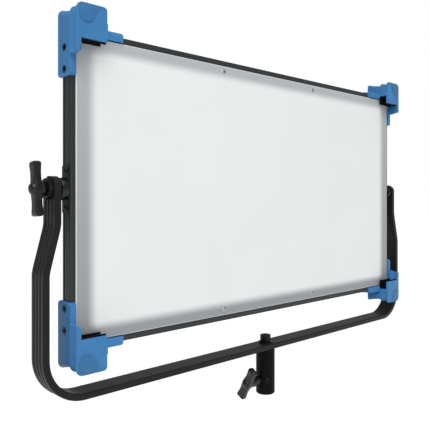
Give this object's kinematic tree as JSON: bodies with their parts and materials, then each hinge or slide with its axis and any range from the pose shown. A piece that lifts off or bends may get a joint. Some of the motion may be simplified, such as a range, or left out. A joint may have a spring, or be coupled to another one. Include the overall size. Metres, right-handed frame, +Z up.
{
  "type": "led soft light panel",
  "caption": "Slim rectangular soft light panel with corner brackets for accessories, tilting in a U yoke with a stand socket and T-handle knobs.",
  "frame": {"origin": "centre of the stand socket mouth, under the middle of the yoke", "axes": "+X across the panel, +Y to the rear, away from the lit face, +Z up, along the stand stud"},
  "size_m": [0.7402, 0.0922, 0.5051],
  "materials": {
    "black_paint": "satin powder coat",
    "black_anodised": "satin black anodised extrusion",
    "grey_anodised": "dark grey anodised",
    "blue_plastic": "satin moulded nylon, lightly textured",
    "black_plastic": "satin glass-filled nylon",
    "black_rubber": "matt",
    "opal_acrylic": "satin opal diffusing sheet",
    "white_paint": "matt reflective white",
    "bare_aluminium": "brushed",
    "steel": "bright zinc",
    "black_steel": "black oxide",
    "circuit_board": "solder mask",
    "display_glass": "gloss smoked window"
  },
  "bodies": {
    "yoke": {"yoke_bar": "black_anodised", "socket_receiver": "black_paint", "socket_bolt_washer": "steel", "socket_bolt": "black_steel", "socket_set_screw": "steel", "tilt_collar": "black_steel"},
    "tilt_knob": {"tilt_knob": "black_plastic"},
    "socket_knob": {"socket_knob": "black_plastic", "socket_clamp_screw": "steel"},
    "dimmer_dial": {"dimmer_dial": "black_plastic"},
    "colour_dial": {"colour_dial": "black_plastic"},
    "power_switch": {"power_switch": "black_plastic"},
    "panel": {"bracket_bottom_left": "blue_plastic", "bracket_bottom_right": "blue_plastic", "bracket_screw_bottom_left_1": "black_steel", "bracket_screw_bottom_left_2": "black_steel", "bracket_screw_bottom_right_1": "black_steel", "bracket_screw_bottom_right_2": "black_steel", "bracket_screw_top_left_1": "black_steel", "bracket_screw_top_left_2": "black_steel", "bracket_screw_top_right_1": "black_steel", "bracket_screw_top_right_2": "black_steel", "bracket_top_left": "blue_plastic", "bracket_top_right": "blue_plastic", "control_board": "circuit_board", "data_socket": "black_plastic", "diffuser": "opal_acrylic", "diffuser_screw_bottom_left": "steel", "diffuser_screw_bottom_right": "steel", "diffuser_screw_top_left": "steel", "diffuser_screw_top_right": "steel", "display_window": "display_glass", "friction_washer_left": "black_rubber", "friction_washer_right": "black_rubber", "heat_sink": "grey_anodised", "led_board_1": "circuit_board", "led_board_2": "circuit_board", "light_tray": "white_paint", "pivot_bolt": "black_steel", "pivot_bush_left": "black_plastic", "pivot_bush_right": "black_plastic", "pivot_plate_left": "black_anodised", "pivot_plate_right": "black_anodised", "pivot_screw_left_lower": "black_steel", "pivot_screw_left_upper": "black_steel", "pivot_screw_right_lower": "black_steel", "pivot_screw_right_upper": "black_steel", "pivot_washer": "steel", "power_inlet": "black_plastic", "power_supply": "bare_aluminium", "rail_bottom": "black_anodised", "rail_left": "black_anodised", "rail_right": "black_anodised", "rail_top": "black_anodised", "rear_housing": "black_paint", "slot_liner_bottom_left": "black_rubber", "slot_liner_bottom_right": "black_rubber", "slot_liner_top_left": "black_rubber", "slot_liner_top_right": "black_rubber", "tilt_stud": "steel"}
  },
  "joints": [
    {"name": "panel_tilt", "type": "hinge", "parent": "yoke", "child": "panel", "pos_m": [0, 0, 0.3015], "axis": [1, 0, 0], "range_deg": [-90, 90]},
    {"name": "tilt_knob_turn", "type": "hinge", "parent": "panel", "child": "tilt_knob", "pos_m": [-0.36, 0, 0.3015], "axis": [-1, 0, 0], "range_deg": [0, 360]},
    {"name": "socket_knob_turn", "type": "hinge", "parent": "yoke", "child": "socket_knob", "pos_m": [-0.03, 0, 0.0215], "axis": [-1, 0, 0], "range_deg": [0, 360]},
    {"name": "dimmer_turn", "type": "hinge", "parent": "panel", "child": "dimmer_dial", "pos_m": [0.058, 0.044, 0.3355], "axis": [0, 1, 0], "continuous": true},
    {"name": "colour_turn", "type": "hinge", "parent": "panel", "child": "colour_dial", "pos_m": [-0.058, 0.044, 0.3355], "axis": [0, 1, 0], "continuous": true},
    {"name": "switch_rock", "type": "hinge", "parent": "panel", "child": "power_switch", "pos_m": [0, 0.043, 0.2615], "axis": [1, 0, 0], "range_deg": [0, 18]}
  ]
}
